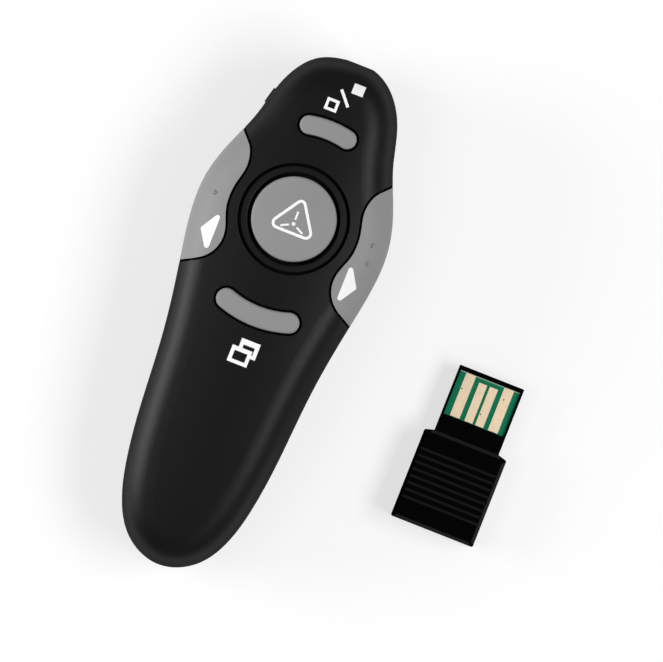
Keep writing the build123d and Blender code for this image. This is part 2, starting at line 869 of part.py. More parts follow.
# Cells and their contacts: the left cell's plus end is at the nose, the right one's at the tail
for name, side, facing in (("left", -1, 1), ("right", 1, -1)):
    spring_wall_y = bay_tail_y + plate_thickness if facing > 0 else bay_nose_y - plate_thickness
    spring_plane = Plane(
        origin=(side * cell_x, spring_wall_y, cell_z), x_dir=(1, 0, 0), z_dir=(0, facing, 0)
    )
    with BuildPart() as battery:
        with BuildSketch(spring_plane.offset(spring_length)):
            Circle(cell_radius)
        extrude(amount=cell_length - cell_nub_length)
        fillet(battery.edges(), cell_round)
        with BuildSketch(spring_plane.offset(spring_length + cell_length - cell_nub_length)):
            Circle(cell_nub_radius)
        extrude(amount=cell_nub_length)
    battery.part.label = f"battery_{name}"
    export_step(battery.part, f"parts/battery_{name}.step")

    coil_height = spring_length - spring_wire
    with BuildPart() as spring:
        with BuildLine(spring_plane.offset(spring_wire / 2)) as coil:
            Helix(
                pitch=coil_height / spring_turns,
                height=coil_height,
                radius=spring_radius,
                direction=(0, facing, 0),
                cone_angle=-spring_taper,
            )
        with BuildSketch(Plane(origin=coil.line @ 0, z_dir=coil.line % 0)):
            Circle(spring_wire / 2)
        sweep(is_frenet=True)
    spring.part.label = f"spring_{name}"
    export_step(spring.part, f"parts/spring_{name}.step")


def contact_plate(side, tab):
    """A square contact plate against the nose wall of the bay, with its tab up to the board."""
    with BuildPart() as plate:
        with BuildSketch(Plane.XZ.offset(-bay_nose_y)):
            with Locations((side * cell_x, cell_z)):
                Rectangle(plate_side, plate_side)
            with Locations((side * cell_x, (cell_z + board_bottom) / 2)):
                Rectangle(tab, board_bottom - cell_z)
        extrude(amount=plate_thickness)
    return plate.part


with BuildPart() as positive_plate:
    add(contact_plate(-1, plate_tab))
positive_plate.part.label = "positive_plate"
export_step(positive_plate.part, "parts/positive_plate.step")

with BuildPart() as negative_plate:
    add(contact_plate(1, plate_tab))
negative_plate.part.label = "negative_plate"
export_step(negative_plate.part, "parts/negative_plate.step")

with BuildPart() as bridge_plate:
    with BuildSketch(Plane.XZ.offset(-(bay_tail_y + plate_thickness))):
        with Locations((-cell_x, cell_z), (cell_x, cell_z)):
            Rectangle(plate_side, plate_side)
        with Locations((0, cell_z - plate_side / 4)):
            Rectangle(2 * cell_x, plate_side / 2)
    extrude(amount=plate_thickness)
bridge_plate.part.label = "bridge_plate"
export_step(bridge_plate.part, "parts/bridge_plate.step")

# Battery door, hinged at its nose edge, and the springy latch at its tail edge
door_edge_nose = door_nose_y - door_gap
door_edge_tail = door_tail_y + door_gap
with BuildPart() as battery_door:
    add(column(door_outline(door_gap), -1, parting_height))
    add(outer_form, mode=Mode.INTERSECT)
    add(inner_form, mode=Mode.SUBTRACT)
    with BuildSketch(Plane.XY.offset(wall / 2)):
        with Locations((-tab_x, door_edge_nose), (tab_x, door_edge_nose)):
            Rectangle(tab_width, tab_width, align=(Align.CENTER, Align.MAX))
    extrude(amount=wall / 2 + tab_gap + tab_thickness)
    with BuildSketch(Plane.XY.offset(wall + tab_gap)):
        with Locations((-tab_x, door_edge_nose), (tab_x, door_edge_nose)):
            Rectangle(tab_width, 2 * tab_reach)
    extrude(amount=tab_thickness)
    with BuildSketch(Plane.XY.offset(-1)):
        with Locations((0, door_edge_tail)):
            Rectangle(latch_width + 2 * door_gap, 2 * (latch_thickness + door_gap))
    extrude(amount=parting_height, mode=Mode.SUBTRACT)
    with BuildSketch():
        with Locations((0, door_shoulder_y + 2 * grip_pitch)):
            with GridLocations(0, grip_pitch, 1, grip_count):
                SlotOverall(grip_width, grip_groove)
    extrude(amount=grip_depth, mode=Mode.SUBTRACT)
battery_door.part.label = "battery_door"
export_step(battery_door.part, "parts/battery_door.step")

latch_outer_y = door_edge_tail + latch_thickness / 2
latch_inner_y = latch_outer_y + latch_span
latch_top = latch_height - latch_thickness / 2
with BuildPart() as door_latch:
    with BuildSketch(Plane.YZ.offset(-latch_width / 2)):
        with BuildLine():
            FilletPolyline(
                (latch_outer_y, latch_foot),
                (latch_outer_y, latch_top),
                (latch_inner_y, latch_top),
                (latch_inner_y, wall),
                radius=latch_span * 0.45,
            )
        trace(line_width=latch_thickness)
        with Locations((door_edge_tail - latch_hook / 2, wall + tab_gap + latch_hook)):
            Rectangle(latch_hook + 2 * door_gap, 2 * latch_hook)
    extrude(amount=latch_width)
door_latch.part.label = "door_latch"
export_step(door_latch.part, "parts/door_latch.step")

# Laser module on the parting plane, and the window in the nose
with BuildPart() as laser_barrel:
    with BuildSketch(Plane.XZ.offset(-laser_front_y)):
        with Locations((0, parting_height)):
            Circle(laser_radius)
            Circle(laser_aperture_radius, mode=Mode.SUBTRACT)
    extrude(amount=laser_length)
    with BuildSketch(Plane.XZ.offset(-(laser_front_y - laser_lip))):
        with Locations((0, parting_height)):
            Circle(laser_bore_radius)
    extrude(amount=laser_length, mode=Mode.SUBTRACT)
laser_barrel.part.label = "laser_barrel"
export_step(laser_barrel.part, "parts/laser_barrel.step")

lens_front_y = laser_front_y - laser_lip
with BuildPart() as laser_lens:
    with BuildSketch(Plane.XZ.offset(-lens_front_y)):
        with Locations((0, parting_height)):
            Circle(laser_bore_radius - laser_fit)
    extrude(amount=laser_lens_thickness)
    fillet(laser_lens.faces().sort_by(Axis.Y)[0].edges(), laser_lens_thickness * 0.6)
laser_lens.part.label = "laser_lens"
export_step(laser_lens.part, "parts/laser_lens.step")

with BuildPart() as laser_diode:
    with BuildSketch(Plane.XZ.offset(-laser_rear_y)):
        with Locations((0, parting_height)):
            Circle(laser_bore_radius - laser_fit)
    extrude(amount=-laser_diode_flange)
    with BuildSketch(Plane.XZ.offset(-laser_rear_y)):
        with Locations((0, parting_height)):
            Circle(laser_diode_radius)
    extrude(amount=-laser_diode_length)
    with BuildSketch(Plane.XZ.offset(-laser_rear_y)):
        with Locations(
            (-laser_diode_radius / 2, laser_pin_height),
            (laser_diode_radius / 2, laser_pin_height),
        ):
            Circle(laser_pin_radius)
    extrude(amount=laser_pin_length)
laser_diode.part.label = "laser_diode"
export_step(laser_diode.part, "parts/laser_diode.step")

with BuildPart() as laser_driver:
    with BuildSketch(Plane.XY.offset(parting_height - laser_driver_thickness / 2)):
        with Locations((0, laser_rear_y - laser_driver_gap - laser_driver_length / 2)):
            Rectangle(laser_driver_width, laser_driver_length)
    extrude(amount=laser_driver_thickness)
laser_driver.part.label = "laser_driver"
export_step(laser_driver.part, "parts/laser_driver.step")

with BuildPart() as nose_window:
    with BuildSketch(Plane.XZ.offset(-(nose_y - nose_flat))):
        with Locations((0, parting_height)):
            Circle(window_radius)
    extrude(amount=wall + window_seat)
    chamfer(nose_window.faces().sort_by(Axis.Y)[-1].edges(), 0.1)
    with BuildSketch(Plane.XZ.offset(-(nose_y - wall - window_seat))):
        with Locations((0, parting_height)):
            Circle(window_flange_radius)
    extrude(amount=window_flange_thickness)
nose_window.part.label = "nose_window"
export_step(nose_window.part, "parts/nose_window.step")

# Receiver: its plan, narrower at the shoulders
receiver_rear_y = receiver_shoulder_y - receiver_length
plug_tip_y = receiver_shoulder_y + plug_length
board_slot_width = plug_width - 2 * plug_rim
receiver_board_bottom = plug_bottom + plug_floor
receiver_board_top = receiver_board_bottom + receiver_board_thickness


def receiver_plan(shrink):
    """The receiver body's plan, moved inwards by shrink."""
    half = receiver_width / 2 - shrink
    rear = receiver_rear_y + shrink
    front = receiver_shoulder_y - shrink
    with BuildSketch() as plan:
        with BuildLine():
            Polyline(
                (receiver_x - half, rear),
                (receiver_x + half, rear),
                (receiver_x + half, front - shoulder_slope),
                (receiver_x + plug_width / 2, front),
                (receiver_x - plug_width / 2, front),
                (receiver_x - half, front - shoulder_slope),
                close=True,
            )
        make_face()
        columns = plan.vertices().group_by(Axis.X)
        fillet(columns[0] + columns[-1], receiver_corner)
    return plan.sketch


def receiver_half(seam, face):
    """Half of the receiver's body, from its shadow line at the seam to its bevelled flat face."""
    way = 1 if face > seam else -1
    line_end = seam + way * seam_width / 2
    bevel_start = face - way * receiver_bevel
    with BuildPart() as half:
        add(column(receiver_plan(seam_depth), *sorted((seam, line_end))))
        add(column(receiver_plan(0), *sorted((line_end, bevel_start))))
        with BuildSketch(Plane.XY.offset(bevel_start)):
            add(receiver_plan(0))
        with BuildSketch(Plane.XY.offset(face)):
            add(receiver_plan(receiver_bevel))
        loft(ruled=True)
    return half.part


with BuildPart() as receiver_base:
    add(receiver_half(receiver_seam, 0))
    add(column(receiver_plan(receiver_wall), receiver_wall, receiver_seam), mode=Mode.SUBTRACT)
    with BuildSketch(Plane.XY.offset(receiver_wall)):
        with Locations((receiver_x, (receiver_rear_y + receiver_shoulder_y) / 2)):
            with GridLocations(0, receiver_length / 2, 1, 2):
                Rectangle(receiver_width - 2 * receiver_wall, receiver_wall)
    extrude(amount=receiver_board_bottom - receiver_wall)
    with BuildSketch(Plane.XY.offset(plug_bottom)):
        with Locations((receiver_x, plug_tip_y)):
            Rectangle(plug_width, plug_length + receiver_wall, align=(Align.CENTER, Align.MAX))
    extrude(amount=plug_thickness)
    with BuildSketch(Plane.XY.offset(receiver_board_bottom)):
        with Locations((receiver_x, plug_tip_y - plug_tip)):
            Rectangle(
                board_slot_width,
                plug_length - plug_tip - plug_cover_length,
                align=(Align.CENTER, Align.MAX),
            )
    extrude(amount=plug_thickness, mode=Mode.SUBTRACT)
    with BuildSketch(Plane.XY.offset(receiver_board_bottom)):
        with Locations((receiver_x, plug_tip_y - plug_tip)):
            Rectangle(board_slot_width, plug_length + receiver_wall, align=(Align.CENTER, Align.MAX))
    extrude(amount=receiver_board_thickness + receiver_fit, mode=Mode.SUBTRACT)
receiver_base.part.label = "receiver_base"
export_step(receiver_base.part, "parts/receiver_base.step")

with BuildPart() as receiver_cover:
    add(receiver_half(receiver_seam, receiver_height))
    add(
        column(receiver_plan(receiver_wall), receiver_seam, receiver_height - receiver_wall),
        mode=Mode.SUBTRACT,
    )
    with BuildSketch(Plane.XY.offset(receiver_seam)):
        with Locations((receiver_x, receiver_shoulder_y)):
            Rectangle(plug_width + 2 * receiver_fit, 4 * receiver_wall)
    extrude(amount=plug_bottom + plug_thickness + receiver_fit - receiver_seam, mode=Mode.SUBTRACT)
    with BuildSketch(Plane.YZ.offset(receiver_x - receiver_width)):
        with Locations(*groove_places):
            Polygon(
                (-groove_width, groove_depth),
                (0, -groove_depth),
                (groove_width, groove_depth),
                align=None,
            )
    extrude(amount=1.5 * receiver_width - receiver_bevel - groove_stop, mode=Mode.SUBTRACT)
receiver_cover.part.label = "receiver_cover"
export_step(receiver_cover.part, "parts/receiver_cover.step")

with BuildPart() as receiver_board:
    with BuildSketch(Plane.XY.offset(receiver_board_bottom)):
        with Locations((receiver_x, plug_tip_y - plug_tip - receiver_fit)):
            Rectangle(
                board_slot_width - 2 * receiver_fit,
                receiver_board_length,
                align=(Align.CENTER, Align.MAX),
            )
    extrude(amount=receiver_board_thickness)
receiver_board.part.label = "receiver_board"
export_step(receiver_board.part, "parts/receiver_board.step")

contact_end_y = receiver_shoulder_y + plug_cover_length
contact_nose_y = plug_tip_y - plug_tip - receiver_fit
with BuildPart() as receiver_contacts:
    for offset_x, width, start in (
        (outer_contact_offset, outer_contact_width, outer_contact_start),
        (inner_contact_offset, inner_contact_width, inner_contact_start),
    ):
        length = contact_nose_y - start - contact_end_y - receiver_fit
        with BuildSketch(Plane.XY.offset(receiver_board_top)):
            with Locations((receiver_x, contact_nose_y - start - length / 2)):
                with GridLocations(2 * offset_x, 0, 2, 1):
                    Rectangle(width, length)
        extrude(amount=contact_thickness)
receiver_contacts.part.label = "receiver_contacts"
export_step(receiver_contacts.part, "parts/receiver_contacts.step")

with BuildPart() as receiver_chip:
    with BuildSketch(Plane.XY.offset(receiver_board_top)):
        with Locations((receiver_x, receiver_shoulder_y - receiver_chip_inset)):
            Rectangle(receiver_chip_side, receiver_chip_side)
    extrude(amount=receiver_chip_height)
    chamfer(receiver_chip.faces().sort_by(Axis.Z)[-1].edges(), 0.1)
receiver_chip.part.label = "receiver_chip"
export_step(receiver_chip.part, "parts/receiver_chip.step")

with BuildPart() as receiver_crystal:
    with BuildSketch(Plane.XY.offset(receiver_board_top)):
        with Locations((receiver_x, receiver_shoulder_y - receiver_crystal_inset)):
            RectangleRounded(crystal_length, crystal_width, 0.4)
    extrude(amount=crystal_height)
    fillet(receiver_crystal.faces().sort_by(Axis.Z)[-1].edges(), 0.2)
receiver_crystal.part.label = "receiver_crystal"
export_step(receiver_crystal.part, "parts/receiver_crystal.step")

with BuildPart() as receiver_parts:
    with BuildSketch(Plane.XY.offset(receiver_board_top)):
        with Locations((receiver_x, receiver_shoulder_y - receiver_chip_inset)):
            with GridLocations(receiver_parts_spread, 3 * chip_part_width, 2, 3):
                Rectangle(chip_part_length, chip_part_width)
    extrude(amount=chip_part_width)
receiver_parts.part.label = "receiver_parts"
export_step(receiver_parts.part, "parts/receiver_parts.step")
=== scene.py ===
import bpy
import json
import numpy as np
from math import radians
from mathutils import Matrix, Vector


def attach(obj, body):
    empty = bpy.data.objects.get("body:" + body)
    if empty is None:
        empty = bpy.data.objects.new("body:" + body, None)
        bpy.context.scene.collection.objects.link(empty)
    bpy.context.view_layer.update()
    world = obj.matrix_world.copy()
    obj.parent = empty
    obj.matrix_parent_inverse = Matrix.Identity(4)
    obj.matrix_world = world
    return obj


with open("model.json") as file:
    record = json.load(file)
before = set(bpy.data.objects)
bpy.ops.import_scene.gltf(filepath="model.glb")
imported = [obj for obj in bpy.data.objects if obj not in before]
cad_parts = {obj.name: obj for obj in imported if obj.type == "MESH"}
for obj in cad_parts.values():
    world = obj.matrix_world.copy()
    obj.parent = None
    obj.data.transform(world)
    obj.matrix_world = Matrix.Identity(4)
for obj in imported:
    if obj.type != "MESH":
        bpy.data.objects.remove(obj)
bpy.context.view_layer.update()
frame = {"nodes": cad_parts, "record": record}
nodes = frame["nodes"]
slotOf = {row["node"]: row["material_slot"] for row in frame["record"]["subparts"]}
bodyOf = {node: body for body, held in frame["record"]["behaviour"]["bodies"].items() for node in held}
print("frame loaded:", len(nodes), "nodes")

mm = 0.001

# what the finishes share
finishBasics = {
    "noiseSpan": (0.3, 0.7), "noiseRoughness": 0.55,  # most noise values lie in the span
    "slowDetail": 3.0, "fineDetail": 2.0, "brushedDetail": 5.0,
    "grainStrength": 0.6, "metalGrain": 2,  # a metal's grain is this many times finer than its lines
    "brushedShade": 0.85, "glassShade": 0.9,  # darkest share of a metal's and of a glass's colour
    "gapShare": (0.02, 0.02, 0.02), "gapRays": 8,  # what is left of a colour deep in a gap under the painted shade
}


def blankMaterial(name):
    # a new material, its node tree and its one shader
    material = bpy.data.materials.new(name)
    material.use_nodes = True
    tree = material.node_tree
    return material, tree, tree.nodes["Principled BSDF"]


def addNode(tree, kind, **values):
    # each value sets the socket of that name, or else the node's own setting
    made = tree.nodes.new(kind)
    for key, value in values.items():
        if key in made.inputs:
            made.inputs[key].default_value = value
        else:
            setattr(made, key, value)
    return made


def objectPlace(tree, stretch=(1, 1, 1)):
    # the point's place in the piece, times the stretch
    place = addNode(tree, "ShaderNodeTexCoord")
    mapping = addNode(tree, "ShaderNodeMapping", Scale=stretch)
    tree.links.new(place.outputs["Object"], mapping.inputs["Vector"])
    return mapping.outputs["Vector"]


def noise(tree, place, scale, detail="slowDetail"):
    made = addNode(tree, "ShaderNodeTexNoise", Scale=scale, Detail=finishBasics[detail],
                   Roughness=finishBasics["noiseRoughness"])
    tree.links.new(place, made.inputs["Vector"])
    return made.outputs["Fac"]


def ramp(tree, factor, stops):
    # colour that passes from stop to stop as the factor grows
    made = addNode(tree, "ShaderNodeValToRGB")
    bar = made.color_ramp.elements
    while len(bar) < len(stops):
        bar.new(0.5)
    for element, (position, colour) in zip(bar, stops):
        element.position = position
        element.color = (*colour, 1)
    tree.links.new(factor, made.inputs["Fac"])
    return made.outputs["Color"]


def mapRange(tree, factor, fromMin, fromMax, toMin=0.0, toMax=1.0):
    # straight line from one pair of values to the other, level outside it
    made = addNode(tree, "ShaderNodeMapRange")
    limits = {"From Min": fromMin, "From Max": fromMax, "To Min": toMin, "To Max": toMax}
    for socket, value in limits.items():
        made.inputs[socket].default_value = value
    tree.links.new(factor, made.inputs["Value"])
    return made.outputs["Result"]


def larger(tree, first, second):
    made = addNode(tree, "ShaderNodeMath", operation="MAXIMUM")
    tree.links.new(first, made.inputs[0])
    tree.links.new(second, made.inputs[1])
    return made.outputs["Value"]


def colourDrift(tree, factor, low, high):
    # the noise span is stretched to run from one colour to the other
    start, end = finishBasics["noiseSpan"]
    return ramp(tree, factor, [(start, low), (end, high)])


def valueDrift(tree, factor, low, high):
    # the noise span is stretched to run from one value to the other
    return mapRange(tree, factor, *finishBasics["noiseSpan"], low, high)


def varyRoughness(tree, shader, factor, look):
    tree.links.new(valueDrift(tree, factor, *look["roughness"]), shader.inputs["Roughness"])


def grain(tree, shader, place, scale, depth):
    # fine moulded texture: noise heights of the given depth in metres
    bump = addNode(tree, "ShaderNodeBump", Strength=finishBasics["grainStrength"], Distance=depth)
    tree.links.new(noise(tree, place, scale, "fineDetail"), bump.inputs["Height"])
    tree.links.new(bump.outputs["Normal"], shader.inputs["Normal"])


def paintedCreviceShade(tree, shader, colour, look):
    # painted shade: colour and gloss go to nothing where walls within reach cover most of the view, as deep
    # in a gap
    cover = addNode(tree, "ShaderNodeAmbientOcclusion", Distance=look["gap"], samples=finishBasics["gapRays"])
    shut, clear = look["gapShade"]
    shade = ramp(tree, cover.outputs["AO"], [(shut, finishBasics["gapShare"]), (clear, (1, 1, 1))])
    both = addNode(tree, "ShaderNodeMix", data_type="RGBA", blend_type="MULTIPLY")
    both.inputs["Factor"].default_value = 1
    tree.links.new(colour, both.inputs["A"])
    tree.links.new(shade, both.inputs["B"])
    tree.links.new(both.outputs["Result"], shader.inputs["Base Color"])
    tree.links.new(shade, shader.inputs["Specular Tint"])


def softRim(tree, roughness, rim):
    # soft-touch coat: gloss fades where the surface turns away, between two shares of facing
    turned = addNode(tree, "ShaderNodeLayerWeight", Blend=0.5)
    return larger(tree, roughness, mapRange(tree, turned.outputs["Facing"], *rim))


def mouldedPlastic(name, look):
    # colour drifts slowly over the piece, roughness varies a little, and a fine grain catches light
    material, tree, shader = blankMaterial(name)
    place = objectPlace(tree)
    base = np.array(look["colour"])
    slow = noise(tree, place, look["driftScale"])
    colour = colourDrift(tree, slow, base * (1 - look["drift"]), base * (1 + look["drift"]))
    # painted shade darkens colour and gloss deep in gaps
    if "gap" in look:
        paintedCreviceShade(tree, shader, colour, look)
    else:
        tree.links.new(colour, shader.inputs["Base Color"])
    fine = noise(tree, place, look["grainScale"], "fineDetail")
    roughness = valueDrift(tree, fine, *look["roughness"])
    if "rim" in look:
        roughness = softRim(tree, roughness, look["rim"])
    tree.links.new(roughness, shader.inputs["Roughness"])
    shader.inputs["Specular IOR Level"].default_value = look["shine"]
    grain(tree, shader, place, look["grainScale"], look["grainDepth"])
    return material


# gap: reach in metres of the painted shade in gaps; gapShade: open share of the view at which a gap is shut
# and clear, that is, where that painted shade is full and where it is gone
# rim: facing at which the gloss starts to fade and is gone, with the roughness at either
plasticLooks = {
    "case_black": dict(colour=(0.0042, 0.0042, 0.0044), drift=0.1, driftScale=40, roughness=(0.4, 0.46),
                       shine=0.17, grainScale=3500, grainDepth=0.000008, gap=0.0012, gapShade=(0.25, 0.7),
                       rim=(0.36, 0.7, 0.4, 0.85)),
    "ring_black": dict(colour=(0.0035, 0.0035, 0.0037), drift=0.1, driftScale=60, roughness=(0.45, 0.53),
                       shine=0.16, grainScale=3500, grainDepth=0.000006, gap=0.0012, gapShade=(0.25, 0.7)),
    "key_grey": dict(colour=(0.275, 0.277, 0.28), drift=0.025, driftScale=120, roughness=(0.5, 0.6),
                     shine=0.3, grainScale=3000, grainDepth=0.000008, gap=0.0014, gapShade=(0.38, 0.78)),
    "chip_black": dict(colour=(0.02, 0.02, 0.021), drift=0.15, driftScale=300, roughness=(0.55, 0.7),
                       shine=0.4, grainScale=5000, grainDepth=0.00001),
    "chip_tan": dict(colour=(0.34, 0.25, 0.16), drift=0.1, driftScale=900, roughness=(0.5, 0.6),
                     shine=0.4, grainScale=5000, grainDepth=0.00001),
    "plunger_white": dict(colour=(0.75, 0.74, 0.7), drift=0.04, driftScale=300, roughness=(0.4, 0.5),
                          shine=0.5, grainScale=4000, grainDepth=0.000006),
    "receiver_black": dict(colour=(0.0004, 0.0004, 0.0005), drift=0.1, driftScale=80, roughness=(0.1, 0.16),
                           shine=0.22, grainScale=2500, grainDepth=0.0000007),
    "iconWhite": dict(colour=(0.97, 0.97, 0.97), drift=0.02, driftScale=500, roughness=(0.5, 0.6),
                      shine=0.3, grainScale=4000, grainDepth=0.000003),
    # pale strip at the board's edge: bare laminate, and in part a painted highlight of the lit edge
    "laminateAndHighlight": dict(colour=(0.34, 0.38, 0.29), drift=0.08, driftScale=900, roughness=(0.5, 0.6),
                         shine=0.3, grainScale=5000, grainDepth=0.000004),
    # dark discs on the pads: painted shade where the pads have small holes
    "paintedHoleShade": dict(colour=(0.02, 0.014, 0.01), drift=0.1, driftScale=900, roughness=(0.6, 0.7),
                    shine=0.2, grainScale=5000, grainDepth=0.000003),
}


def metal(name, look):
    # brushed metal: noise stretched along one axis moves the colour and the roughness together
    material, tree, shader = blankMaterial(name)
    place = objectPlace(tree, look["stretch"])
    base = np.array(look["colour"])
    lines = noise(tree, place, look["scale"], "brushedDetail")
    colour = colourDrift(tree, lines, base * finishBasics["brushedShade"], base)
    tree.links.new(colour, shader.inputs["Base Color"])
    varyRoughness(tree, shader, lines, look)
    shader.inputs["Metallic"].default_value = look["metallic"]
    grain(tree, shader, place, look["scale"] * finishBasics["metalGrain"], look["grainDepth"])
    return material


metalLooks = {
    "steel": dict(colour=(0.66, 0.65, 0.63), stretch=(1, 6, 1), scale=700, roughness=(0.25, 0.4),
                  metallic=1.0, grainDepth=0.000005),
    "screw_steel": dict(colour=(0.33, 0.33, 0.35), stretch=(1, 1, 1), scale=900, roughness=(0.3, 0.45),
                        metallic=1.0, grainDepth=0.000006),
    "barrel_brass": dict(colour=(0.72, 0.52, 0.24), stretch=(1, 8, 1), scale=500, roughness=(0.25, 0.4),
                         metallic=1.0, grainDepth=0.000005),
    "contact_gold": dict(colour=(1.0, 0.79, 0.55), stretch=(6, 1, 1), scale=900, roughness=(0.4, 0.5),
                         metallic=0.0, grainDepth=0.000003),  # thin matt plating, with no mirror to it
}


def tintedGlass(name, look):
    # clear body whose tint clouds a little
    material, tree, shader = blankMaterial(name)
    base = np.array(look["colour"])
    cloud = noise(tree, objectPlace(tree), look["scale"])
    colour = colourDrift(tree, cloud, base * finishBasics["glassShade"], base)
    tree.links.new(colour, shader.inputs["Base Color"])
    varyRoughness(tree, shader, cloud, look)
    shader.inputs["Transmission Weight"].default_value = look["clear"]
    return material


glassLooks = {
    "window_red": dict(colour=(0.16, 0.006, 0.008), scale=200, roughness=(0.08, 0.14), clear=0.75),
    "lens_clear": dict(colour=(0.92, 0.94, 0.95), scale=200, roughness=(0.02, 0.05), clear=1.0),
}


def solderMask(name, look):
    # green lacquer over copper: straight tracks show as slightly paler bands, and painted shade darkens the
    # mask next to the raised pads
    material, tree, shader = blankMaterial(name)
    place = objectPlace(tree)
    base = np.array(look["colour"])
    tracks = addNode(tree, "ShaderNodeTexBrick", Scale=look["trackScale"])
    for socket, share in zip(("Color1", "Color2", "Mortar"), look["shares"]):
        tracks.inputs[socket].default_value = (*(base * share), 1)
    tracks.inputs["Mortar Size"].default_value = look["trackWidth"]
    tree.links.new(place, tracks.inputs["Vector"])
    paintedCreviceShade(tree, shader, tracks.outputs["Color"], look)
    varyRoughness(tree, shader, noise(tree, place, look["grainScale"]), look)
    shader.inputs["Specular IOR Level"].default_value = look["shine"]
    grain(tree, shader, place, look["grainScale"], look["grainDepth"])
    return material


boardLook = {
    "colour": (0.001, 0.175, 0.082), "shares": (1.0, 0.95, 1.18),  # of the colour: two fields and a track
    "trackWidth": 0.012, "trackScale": 240, "roughness": (0.4, 0.5), "shine": 0.12,
    # gap and gapShade: reach and open shares of the painted shade next to the raised pads
    "grainScale": 1500, "grainDepth": 0.000003, "gap": 0.00012, "gapShade": (0.2, 0.62),
}


def bandedSleeve(name, look):
    # a cell's sleeve: plain colour with one pale band, set by the place along the handheld
    material, tree, shader = blankMaterial(name)
    place = addNode(tree, "ShaderNodeTexCoord")
    parts = addNode(tree, "ShaderNodeSeparateXYZ")
    tree.links.new(place.outputs["Object"], parts.inputs["Vector"])
    along = mapRange(tree, parts.outputs["Y"], *look["reach"])
    tree.links.new(ramp(tree, along, look["stops"]), shader.inputs["Base Color"])
    varyRoughness(tree, shader, noise(tree, place.outputs["Object"], look["grainScale"]), look)
    shader.inputs["Metallic"].default_value = look["metallic"]
    return material


sleeveLook = {
    "reach": (-0.027, 0.022), "grainScale": 600, "roughness": (0.25, 0.35), "metallic": 0.3,
    "stops": [(0.0, (0.62, 0.62, 0.6)), (0.16, (0.02, 0.07, 0.12)), (0.8, (0.025, 0.09, 0.15))],
}

finishes = {name: mouldedPlastic(name, look) for name, look in plasticLooks.items()}
finishes.update({name: metal(name, look) for name, look in metalLooks.items()})
finishes.update({name: tintedGlass(name, look) for name, look in glassLooks.items()})
finishes["board_green"] = solderMask("board_green", boardLook)
finishes["cell_wrap"] = bandedSleeve("cell_wrap", sleeveLook)

for node, slotName in slotOf.items():
    for materialSlot in nodes[node].material_slots:
        materialSlot.material = finishes[slotName]
print("finishes set:", len(finishes))

# printed sheets, and sheets of painted highlight and painted shade on the receiver, that lie on the solids;
# their outlines are in millimetres
sheets = {
    "lift": 0.000012, "thickness": 0.00006,  # metres over the solid, and through the sheet
    "cell": 0.25, "cornerSteps": 7, "discSides": 20,  # cell: longest step in millimetres
    "core": 0.05,  # share of a filled shape's width that its middle face takes
}


def topHeights(node, x, y):
    # height of the topmost face over each x, y, from each triangle's plane by its corner weights
    nothing, leastArea, slack = -1.0, 1e-16, 1e-6
    mesh = nodes[node].data
    mesh.calc_loop_triangles()
    corners = np.empty(len(mesh.vertices) * 3)
    mesh.vertices.foreach_get("co", corners)
    picks = np.empty(len(mesh.loop_triangles) * 3, dtype=np.int64)
    mesh.loop_triangles.foreach_get("vertices", picks)
    triangles = corners.reshape(-1, 3)[picks.reshape(-1, 3)]
    low, high = triangles.min(1), triangles.max(1)
    near = (low[:, 0] <= x.max()) & (high[:, 0] >= x.min())
    near &= (low[:, 1] <= y.max()) & (high[:, 1] >= y.min())
    a, b, c = triangles[near].transpose(1, 0, 2)
    det = (b[:, 0] - a[:, 0]) * (c[:, 1] - a[:, 1]) - (c[:, 0] - a[:, 0]) * (b[:, 1] - a[:, 1])
    lying = np.abs(det) > leastArea  # faces that aren't upright
    a, b, c, det = a[lying], b[lying], c[lying], det[lying]
    px, py = x.reshape(-1, 1) - a[:, 0], y.reshape(-1, 1) - a[:, 1]
    u = (px * (c[:, 1] - a[:, 1]) - py * (c[:, 0] - a[:, 0])) / det
    v = (py * (b[:, 0] - a[:, 0]) - px * (b[:, 1] - a[:, 1])) / det
    inside = (u > -slack) & (v > -slack) & (u + v < 1 + slack)
    height = a[:, 2] + u * (b[:, 2] - a[:, 2]) + v * (c[:, 2] - a[:, 2])
    return np.where(inside, height, nothing).max(1).reshape(x.shape)


def gridMesh(name, points, closed, filled):
    # quads between neighbouring points of a rows by columns grid; closed joins the last column to the
    # first, and filled closes the last row with one face
    rows, columns = points.shape[:2]
    index = np.arange(rows * columns).reshape(rows, columns)
    left = index if closed else index[:, :-1]
    right = np.roll(index, -1, 1) if closed else index[:, 1:]
    faces = np.stack([left[:-1], right[:-1], right[1:], left[1:]], -1).reshape(-1, 4).tolist()
    if filled:
        faces.append(index[-1].tolist())
    mesh = bpy.data.meshes.new(name)
    mesh.from_pydata(points.reshape(-1, 3).tolist(), [], faces)
    mesh.update()
    return mesh


def roundedOutline(corners, radius):
    # each corner becomes an arc that touches both sides: centre on the bisector, swept evenly
    corners = np.array(corners, float)
    radius = np.broadcast_to(np.asarray(radius, float), len(corners))[:, None]
    before, after = np.roll(corners, 1, 0) - corners, np.roll(corners, -1, 0) - corners
    before /= np.linalg.norm(before, axis=1, keepdims=True)
    after /= np.linalg.norm(after, axis=1, keepdims=True)
    halfAngle = np.arccos((before * after).sum(1, keepdims=True)) / 2
    bisector = before + after
    bisector /= np.linalg.norm(bisector, axis=1, keepdims=True)
    centre = corners + bisector * radius / np.sin(halfAngle)
    start = (corners + before * radius / np.tan(halfAngle) - centre)[:, None]
    end = (corners + after * radius / np.tan(halfAngle) - centre)[:, None]
    sweep = (np.pi - 2 * halfAngle)[:, None]
    t = np.linspace(0, 1, sheets["cornerSteps"]).reshape(1, -1, 1)
    turned = (np.sin((1 - t) * sweep) * start + np.sin(t * sweep) * end) / np.sin(sweep)
    return (centre[:, None] + turned).reshape(-1, 2)


